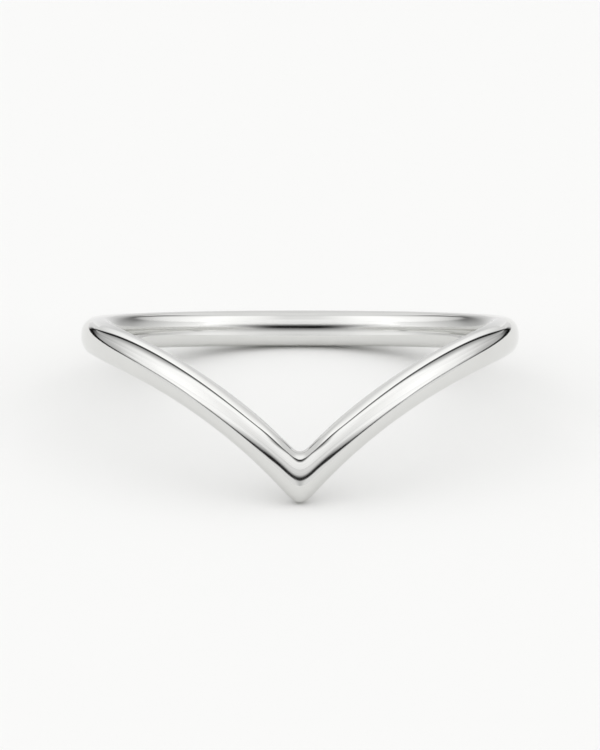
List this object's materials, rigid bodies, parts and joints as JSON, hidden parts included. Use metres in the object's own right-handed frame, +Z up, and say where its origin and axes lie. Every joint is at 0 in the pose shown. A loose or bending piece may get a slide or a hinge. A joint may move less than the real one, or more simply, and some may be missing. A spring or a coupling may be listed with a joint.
{
  "type": "chevron ring",
  "caption": "Slim polished silver finger ring whose front dips to a soft V, with a domed outer face and a comfort-fit inner face.",
  "frame": {"origin": "on the surface that the ring rests on, under the middle of its box; the ring lies on its side and leans back 19.2 degrees", "axes": "+Z up from the surface; the V's point is towards -Y and the back of the band towards +Y; +X to the right seen from the point"},
  "size_m": [0.02, 0.0212, 0.0058],
  "materials": {
    "polished_silver": "mirror polished sterling silver"
  },
  "bodies": {
    "root": {"band": "polished_silver"}
  },
  "joints": []
}
